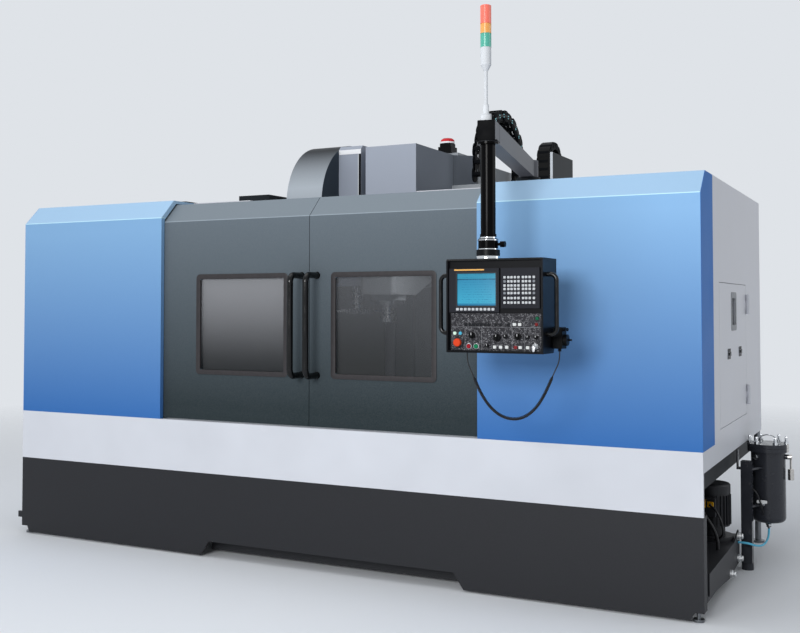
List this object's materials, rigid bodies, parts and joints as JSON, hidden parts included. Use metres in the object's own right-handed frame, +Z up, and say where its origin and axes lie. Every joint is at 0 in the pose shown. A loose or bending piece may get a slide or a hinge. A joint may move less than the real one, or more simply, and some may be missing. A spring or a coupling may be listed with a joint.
{
  "type": "cnc machining center",
  "caption": "Vertical machining centre in a full enclosure: sliding doors, swinging control pendant, moving table, head, spindle and tool changer.",
  "frame": {"origin": "on the floor, under the centre of the machine's box", "axes": "+X to the operator's right along the machine, +Y to the back, +Z up; the operator stands at -Y"},
  "size_m": [5.133, 3.165, 3.085],
  "materials": {
    "cast_iron_grey": "painted cast iron",
    "plated_steel": "zinc plated",
    "motor_black": "satin black",
    "charcoal_paint": "fine textured paint",
    "white_paint": "satin powder coat",
    "blue_paint": "satin metallic blue",
    "light_grey_paint": "satin powder coat",
    "guard_sheet": "satin coat inside",
    "ground_steel": "ground",
    "dark_grey_paint": "metallic grey",
    "silver_grey_paint": "satin metallic",
    "chain_plastic": "glass filled nylon",
    "switch_red": "moulded",
    "black_paint": "satin black",
    "hose_rubber": "matt",
    "window_glass": "laminated",
    "handle_black": "gloss black",
    "stainless_sheet": "brushed",
    "white_plastic": "moulded",
    "lens_red": "clear moulded",
    "panel_plastic": "moulded",
    "button_red": "moulded",
    "button_green": "moulded",
    "knob_black": "moulded"
  },
  "bodies": {
    "machine": {"bed_casting": "cast_iron_grey", "leveling_feet": "plated_steel", "column": "cast_iron_grey", "z_motor": "motor_black", "base_skirt": "charcoal_paint", "lower_band": "white_paint", "left_cover": "blue_paint", "right_cover": "blue_paint", "left_side_panel": "light_grey_paint", "right_side_panel": "light_grey_paint", "rear_panels": "light_grey_paint", "roof_panels": "light_grey_paint", "roof_fittings": "charcoal_paint", "inner_guard": "guard_sheet", "door_rails": "ground_steel", "magazine_cover": "dark_grey_paint", "tool_changer_box": "silver_grey_paint", "cable_chain": "chain_plastic", "electrical_cabinet": "light_grey_paint", "coolant_pump": "motor_black", "filter_unit": "black_paint", "pump_hoses": "hose_rubber", "air_service_unit": "silver_grey_paint"},
    "left_door": {"left_door_panel": "dark_grey_paint", "left_door_glass": "window_glass", "left_door_handle": "handle_black"},
    "right_door": {"right_door_panel": "dark_grey_paint", "right_door_glass": "window_glass", "right_door_handle": "handle_black"},
    "saddle": {"saddle": "cast_iron_grey"},
    "table": {"table": "ground_steel", "table_way_covers": "stainless_sheet"},
    "inner_way_covers": {"inner_way_covers": "stainless_sheet"},
    "outer_way_covers": {"outer_way_covers": "stainless_sheet"},
    "head": {"head_casting": "cast_iron_grey", "head_cover": "silver_grey_paint"},
    "spindle": {"spindle_nose": "ground_steel", "face_mill": "plated_steel"},
    "tool_drum": {"tool_drum": "plated_steel"},
    "tool_arm": {"tool_arm": "plated_steel"},
    "pendant_arm": {"pendant_arm": "black_paint", "tower_light_pole": "white_plastic", "tower_lenses": "lens_red"},
    "pendant": {"pendant_housing": "black_paint", "control_unit": "panel_plastic", "operator_panel": "panel_plastic", "pendant_handles": "handle_black", "handwheel_unit": "panel_plastic", "handwheel_cord": "hose_rubber"},
    "emergency_stop": {"emergency_stop": "button_red"},
    "cycle_start": {"cycle_start": "button_green"},
    "feed_hold": {"feed_hold": "button_red"},
    "mode_selector": {"mode_selector": "knob_black"},
    "feed_override": {"feed_override": "knob_black"},
    "spindle_override": {"spindle_override": "knob_black"},
    "key_switch": {"key_switch": "plated_steel"},
    "handwheel_dial": {"handwheel_dial": "knob_black"},
    "side_service_door": {"side_service_door": "light_grey_paint"},
    "cabinet_door": {"cabinet_door": "light_grey_paint"},
    "main_switch": {"main_switch": "switch_red"}
  },
  "joints": [
    {"name": "left_door_slide", "type": "slide", "parent": "machine", "child": "left_door", "axis": [-1, 0, 0], "range_m": [0, 0.96]},
    {"name": "right_door_slide", "type": "slide", "parent": "machine", "child": "right_door", "axis": [1, 0, 0], "range_m": [0, 0.96]},
    {"name": "saddle_slide", "type": "slide", "parent": "machine", "child": "saddle", "axis": [0, 1, 0], "range_m": [-0.381, 0.381]},
    {"name": "table_slide", "type": "slide", "parent": "saddle", "child": "table", "axis": [1, 0, 0], "range_m": [-0.9, 0.9]},
    {"name": "inner_cover_slide", "type": "slide", "parent": "saddle", "child": "inner_way_covers", "axis": [1, 0, 0], "range_m": [-0.601, 0.601]},
    {"name": "outer_cover_slide", "type": "slide", "parent": "saddle", "child": "outer_way_covers", "axis": [1, 0, 0], "range_m": [-0.301, 0.301]},
    {"name": "head_slide", "type": "slide", "parent": "machine", "child": "head", "axis": [0, 0, 1], "range_m": [-0.65, 0], "deforming": ["cable_chain"]},
    {"name": "spindle_turn", "type": "hinge", "parent": "head", "child": "spindle", "pos_m": [0, 0.006, 1.552], "axis": [0, 0, 1], "continuous": true},
    {"name": "drum_turn", "type": "hinge", "parent": "machine", "child": "tool_drum", "pos_m": [-0.47, 0.116, 2.253], "axis": [1, 0, 0], "continuous": true},
    {"name": "tool_arm_swing", "type": "hinge", "parent": "machine", "child": "tool_arm", "pos_m": [-0.24, 0.006, 1.527], "axis": [0, 0, 1], "range_deg": [0, 90]},
    {"name": "pendant_arm_swing", "type": "hinge", "parent": "machine", "child": "pendant_arm", "pos_m": [1.03113, -0.02278, 2.385], "axis": [0, 0, 1], "range_deg": [-30, 6]},
    {"name": "pendant_swivel", "type": "hinge", "parent": "pendant_arm", "child": "pendant", "pos_m": [1.343, -1.49, 1.84], "axis": [0, 0, 1], "range_deg": [-60, 45]},
    {"name": "emergency_stop_press", "type": "slide", "parent": "pendant", "child": "emergency_stop", "axis": [0, 1, 0], "range_m": [0, 0.004], "stiffness_N_per_m": 900, "springref_m": -0.001},
    {"name": "cycle_start_press", "type": "slide", "parent": "pendant", "child": "cycle_start", "axis": [0, 1, 0], "range_m": [0, 0.003], "stiffness_N_per_m": 400, "springref_m": -0.001},
    {"name": "feed_hold_press", "type": "slide", "parent": "pendant", "child": "feed_hold", "axis": [0, 1, 0], "range_m": [0, 0.003], "stiffness_N_per_m": 400, "springref_m": -0.001},
    {"name": "mode_selector_turn", "type": "hinge", "parent": "pendant", "child": "mode_selector", "pos_m": [1.29, -1.57, 1.42], "axis": [0, 1, 0], "range_deg": [-100, 100]},
    {"name": "feed_override_turn", "type": "hinge", "parent": "pendant", "child": "feed_override", "pos_m": [1.421, -1.57, 1.41], "axis": [0, 1, 0], "range_deg": [-140, 140]},
    {"name": "spindle_override_turn", "type": "hinge", "parent": "pendant", "child": "spindle_override", "pos_m": [1.53, -1.57, 1.416], "axis": [0, 1, 0], "range_deg": [-60, 120]},
    {"name": "key_switch_turn", "type": "hinge", "parent": "pendant", "child": "key_switch", "pos_m": [1.611, -1.57, 1.373], "axis": [0, 1, 0], "range_deg": [0, 90]},
    {"name": "handwheel_turn", "type": "hinge", "parent": "pendant", "child": "handwheel_dial", "pos_m": [1.712, -1.4175, 1.397], "axis": [1, 0, 0], "continuous": true},
    {"name": "side_door_hinge", "type": "hinge", "parent": "machine", "child": "side_service_door", "pos_m": [2.312, 0.38, 1.2965], "axis": [0, 0, 1], "range_deg": [0, 110]},
    {"name": "cabinet_door_hinge", "type": "hinge", "parent": "machine", "child": "cabinet_door", "pos_m": [0.72, 1.539, 1.15], "axis": [0, 0, 1], "range_deg": [0, 110]},
    {"name": "main_switch_turn", "type": "hinge", "parent": "cabinet_door", "child": "main_switch", "pos_m": [1.57, 1.527, 1.5], "axis": [0, 1, 0], "range_deg": [-90, 0]}
  ],
  "couplings": [
    {"joint": "inner_cover_slide", "follows": "table_slide", "ratio": 0.66667},
    {"joint": "outer_cover_slide", "follows": "table_slide", "ratio": 0.33333}
  ]
}
